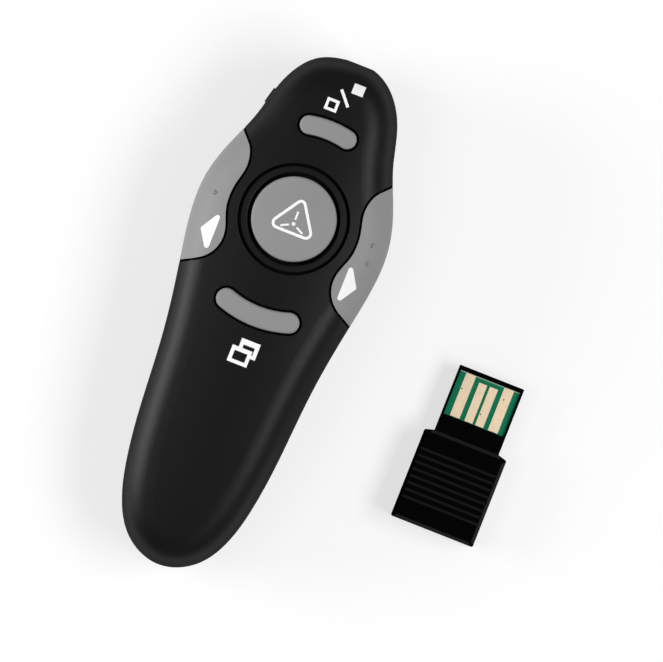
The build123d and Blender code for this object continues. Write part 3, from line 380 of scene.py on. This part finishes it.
def movedIn(corners, distance):
    # polygon whose sides are moved inwards: corner plus distance times the mitre of its two normals
    corners = np.array(corners, float)
    side = np.roll(corners, -1, 0) - corners
    side /= np.linalg.norm(side, axis=1, keepdims=True)
    normal = np.stack([-side[:, 1], side[:, 0]], -1)
    previous = np.roll(normal, 1, 0)
    return corners + distance * (normal + previous) / (1 + (normal * previous).sum(1, keepdims=True))


def stepsFor(lengths):
    # how many cells each length needs
    return np.maximum(1, np.ceil(lengths / sheets["cell"])).astype(int)


def divided(line, steps, closed):
    # each side of the line in even steps, so that a sheet can follow a curved face
    ends = np.roll(line, -1, 0) if closed else line[1:]
    starts = line if closed else line[:-1]
    share = (np.arange(steps.sum()) - np.repeat(np.cumsum(steps) - steps, steps)) / np.repeat(steps, steps)
    points = np.repeat(starts, steps, 0) + share[:, None] * np.repeat(ends - starts, steps, 0)
    return points if closed else np.concatenate([points, line[-1:]])


def layBand(name, outer, inner, closed, carrier, finish="iconWhite", filled=False):
    # ruled band from the outer to the inner line, laid on the carrier's top and thickened down
    outer, inner = np.array(outer, float), np.array(inner, float)
    sides = (np.roll(outer, -1, 0) if closed else outer[1:]) - (outer if closed else outer[:-1])
    steps = stepsFor(np.linalg.norm(sides, axis=1))
    rows = stepsFor(np.linalg.norm(outer - inner, axis=1)).max() + 1
    outer, inner = divided(outer, steps, closed), divided(inner, steps, closed)
    share = np.linspace(0, 1, rows).reshape(-1, 1, 1)
    flat = (outer + share * (inner - outer)) * mm
    heights = topHeights(carrier, flat[..., 0], flat[..., 1]) + sheets["lift"]
    mesh = gridMesh(name, np.concatenate([flat, heights[..., None]], -1), closed, filled)
    if mesh.polygons[0].normal.z < 0:
        mesh.flip_normals()
    mesh.materials.append(finishes[finish])
    piece = bpy.data.objects.new(name, mesh)
    bpy.context.scene.collection.objects.link(piece)
    depth = piece.modifiers.new("depth", "SOLIDIFY")
    depth.thickness = sheets["thickness"]
    depth.offset = -1
    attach(piece, bodyOf[carrier])


def layFilled(name, outline, middle, carrier, finish="iconWhite"):
    # a band that shrinks towards the middle, and one small face to close it there
    outline = np.array(outline, float)
    inner = middle + sheets["core"] * (outline - middle)
    layBand(name, outline, inner, True, carrier, finish, filled=True)


def layDisc(name, centre, radius, carrier, finish="iconWhite"):
    # circle: centre plus radius times cosine and sine of the turn
    turn = np.linspace(0, 2 * np.pi, sheets["discSides"], endpoint=False)
    circle = centre + radius * np.stack([np.cos(turn), np.sin(turn)], -1)
    layFilled(name, circle, np.array(centre), carrier, finish)


def layPanel(name, limits, carrier, finish="iconWhite"):
    # full rectangle: a band from its near side to its far side
    x0, x1, y0, y1 = limits
    layBand(name, [(x0, y0), (x1, y0)], [(x0, y1), (x1, y1)], False, carrier, finish)


def layBar(name, ends, width, carrier):
    # straight bar: its middle line moved by half its width to either side
    ends = np.array(ends, float)
    along = (ends[1] - ends[0]) / np.linalg.norm(ends[1] - ends[0])
    across = np.array([-along[1], along[0]]) * width / 2
    layBand(name, ends + across, ends - across, False, carrier)


def box(x0, x1, y0, y1):
    # corners of a rectangle, counter-clockwise
    return [(x0, y0), (x1, y0), (x1, y1), (x0, y1)]


# marks over the top key: a full square, a slash and an open square
startMarks = {
    "full": (1.2, 3.28, 41.45, 43.3),
    "slash": ((-0.55, 41.42), (1.57, 38.93)), "slashWidth": 0.52,
    "open": (-2.28, -0.03, 37.25, 39.4), "openStroke": 0.5,
}


def layStartMarks(look):
    layPanel("fullSquare", look["full"], "top_shell")
    layBar("slash", look["slash"], look["slashWidth"], "top_shell")
    square = box(*look["open"])
    layBand("openSquare", square, movedIn(square, look["openStroke"]), True, "top_shell")


# marks under the lower key: two windows, the front one covering a corner of the back one
windowMarks = {
    "front": (-1.88, 1.78, -9.47, -6.5), "frontOpening": (-1.22, 1.14, -8.83, -7.27),
    "back": (-0.78, 2.68, -7.8, -4.87), "backOpening": (-0.1, 1.97, -7.2, -5.84),
}


def layWindowMarks(look):
    layBand("frontWindow", box(*look["front"]), box(*look["frontOpening"]), True, "top_shell")
    x0, x1, y0, y1 = look["back"]
    u0, u1, v0, v1 = look["backOpening"]
    coverX, coverY = look["front"][1], look["front"][3]
    layBand("backWindow", [(x0, coverY), (x0, y1), (x1, y1), (x1, y0), (coverX, y0)],
            [(u0, coverY), (u0, v1), (u1, v1), (u1, v0), (coverX, v0)], False, "top_shell")


# pointer mark on the round key: rounded triangle, centre dot and three spokes at angles in degrees
pointer = {
    "corners": [(0.3, 21.95), (-4.4, 14.85), (4.85, 14.85)], "radius": (0.95, 1.1, 1.1), "stroke": 0.5,
    "centre": (0.25, 16.7), "dot": 0.34, "spoke": (0.8, 2.3), "spokeWidth": 0.34, "angles": (90, 207, 333),
}


def layPointer(look):
    radius, stroke = np.array(look["radius"]), look["stroke"]
    outer = roundedOutline(look["corners"], radius)
    inner = roundedOutline(movedIn(look["corners"], stroke), radius - stroke)
    layBand("pointerTriangle", outer, inner, True, "laser_key")
    layDisc("pointerDot", look["centre"], look["dot"], "laser_key")
    for number, angle in enumerate(look["angles"]):
        way = (np.cos(radians(angle)), np.sin(radians(angle)))
        ends = np.array(look["centre"]) + np.outer(look["spoke"], way)
        layBar(f"pointerSpoke{number}", ends, look["spokeWidth"], "laser_key")


# arrows on the side keys, pointing outwards: the right one, and the same with its x turned over
arrow = {
    "corners": [(11.98, 14.46), (11.98, 6.27), (14.52, 10.24)], "radius": 0.42,
    "sides": {"previous": -1, "next": 1},
}


def layArrows(look):
    for key, side in look["sides"].items():
        corners = np.array(look["corners"]) * (side, 1)
        outline = roundedOutline(corners, look["radius"])
        layFilled(f"{key}Arrow", outline, corners.mean(0), f"{key}_key")


# receiver: a pale strip along the board's front edge, bare laminate and in part a painted highlight of the
# lit edge, and dark discs as painted shade in small holes in the pads
receiverMarks = {
    "edge": (36.6, 47.6, 3.7, 3.88),
    "holes": [(37.9, 0.94), (42.55, -2.08), (45.39, 1.75)], "holeRadius": 0.13,
}


def layReceiverMarks(look):
    layPanel("boardEdgeHighlight", look["edge"], "receiver_board", "laminateAndHighlight")
    for number, place in enumerate(look["holes"]):
        # dark discs: painted shade in the pads' small holes
        layDisc(f"paintedHoleShade{number}", place, look["holeRadius"], "receiver_contacts", "paintedHoleShade")


layStartMarks(startMarks)
layWindowMarks(windowMarks)
layPointer(pointer)
layArrows(arrow)
layReceiverMarks(receiverMarks)
print("marks laid")

# pale sheet that the object lies on, in metres
floorLook = {
    "size": 3.0, "drop": 0.00003, "paper": (0.35, 0.35, 0.35), "drift": 0.005, "driftScale": 4.0,
    "roughness": 0.9, "shine": 0.1, "glow": 0.66,
}


def backgroundPaper(name, look):
    # matt sheet with an even glow that only the view, a gloss and a clear piece pick up
    material, tree, shader = blankMaterial(name)
    base = np.array(look["paper"])
    cloud = noise(tree, objectPlace(tree), look["driftScale"])
    tree.links.new(colourDrift(tree, cloud, base * (1 - look["drift"]), base), shader.inputs["Base Color"])
    shader.inputs["Roughness"].default_value = look["roughness"]
    shader.inputs["Specular IOR Level"].default_value = look["shine"]
    rays = addNode(tree, "ShaderNodeLightPath")
    seen = rays.outputs["Is Camera Ray"]
    for kind in ("Is Glossy Ray", "Is Transmission Ray"):
        seen = larger(tree, seen, rays.outputs[kind])
    glow = addNode(tree, "ShaderNodeMath", operation="MULTIPLY")
    tree.links.new(seen, glow.inputs[0])
    glow.inputs[1].default_value = look["glow"]
    shader.inputs["Emission Color"].default_value = (1, 1, 1, 1)
    tree.links.new(glow.outputs["Value"], shader.inputs["Emission Strength"])
    return material


def layFloor(look):
    # square sheet, its corners at the size to either side and just under the object
    corners = np.array([(-1, -1, 0), (1, -1, 0), (1, 1, 0), (-1, 1, 0)]) * look["size"]
    mesh = bpy.data.meshes.new("floor")
    mesh.from_pydata((corners - (0, 0, look["drop"])).tolist(), [], [(0, 1, 2, 3)])
    mesh.materials.append(backgroundPaper("paper", look))
    floor = bpy.data.objects.new("floor", mesh)
    bpy.context.scene.collection.objects.link(floor)


layFloor(floorLook)

# camera straight above, turned so that the handheld leans to the right
view = {
    "lean": 21.55, "aim": (0.01316, 0.00189), "distance": 4.0,  # degrees, then metres
    "planeHeight": 0.009, "width": 0.1151,  # the view is this wide at that height
    "sensor": 36,  # millimetres
}


def placeCamera(look):
    camera = bpy.data.cameras.new("camera")
    camera.sensor_fit = "HORIZONTAL"
    camera.sensor_width = look["sensor"]
    camera.lens = look["sensor"] * look["distance"] / look["width"]
    cameraObject = bpy.data.objects.new("camera", camera)
    cameraObject.location = (*look["aim"], look["distance"] + look["planeHeight"])
    cameraObject.rotation_euler = (0, 0, radians(look["lean"]))
    bpy.context.scene.collection.objects.link(cameraObject)
    bpy.context.scene.camera = cameraObject
    bpy.context.scene.view_settings.view_transform = "Standard"


placeCamera(view)

# soft boxes around the object; direction is to the view's right, up in the view and towards the camera
worldLight = 0.06
lamps = {  # direction, distance, size along the floor and upright, brightness
    "leftBox": ((-0.94, 0.17, 0.34), 1.3, (0.7, 0.62), 8.2),
    "leftLowBox": ((-0.97, 0.22, 0.06), 1.3, (0.5, 0.13), 18.0),
    "leftHighBox": ((-0.42, 0.02, 0.9), 1.4, (0.9, 0.6), 1.9),
    "rightBox": ((0.61, -0.16, 0.77), 1.3, (0.9, 0.5), 8.8),
    "rightLowBox": ((0.93, -0.37, 0.12), 1.3, (0.3, 0.15), 2.0),
    "farBox": ((0.1, 0.85, 0.55), 1.5, (1.2, 0.8), 0.4),
    "nearBox": ((0.0, -0.85, 0.55), 1.5, (1.2, 0.8), 0.4),
}


def hangLamp(name, direction, distance, size, brightness):
    # a soft box that faces the view's middle; its energy is brightness times pi times its area
    lean = radians(view["lean"])
    viewRight = Vector((np.cos(lean), np.sin(lean), 0))
    viewUp = Vector((-np.sin(lean), np.cos(lean), 0))
    away = (viewRight * direction[0] + viewUp * direction[1] + Vector((0, 0, direction[2]))).normalized()
    lamp = bpy.data.lights.new(name, "AREA")
    lamp.shape = "RECTANGLE"
    lamp.size, lamp.size_y = size
    lamp.energy = brightness * np.pi * size[0] * size[1]
    lampObject = bpy.data.objects.new(name, lamp)
    lampObject.location = Vector((*view["aim"], 0)) + away * distance
    lampObject.rotation_euler = (-away).to_track_quat("-Z", "Y").to_euler()
    bpy.context.scene.collection.objects.link(lampObject)


def lightWorld(strength):
    world = bpy.data.worlds.new("studio")
    bpy.context.scene.world = world
    world.use_nodes = True
    background = world.node_tree.nodes["Background"]
    background.inputs["Color"].default_value = (1, 1, 1, 1)
    background.inputs["Strength"].default_value = strength


for lampName, settings in lamps.items():
    hangLamp(lampName, *settings)
lightWorld(worldLight)
print("studio ready")
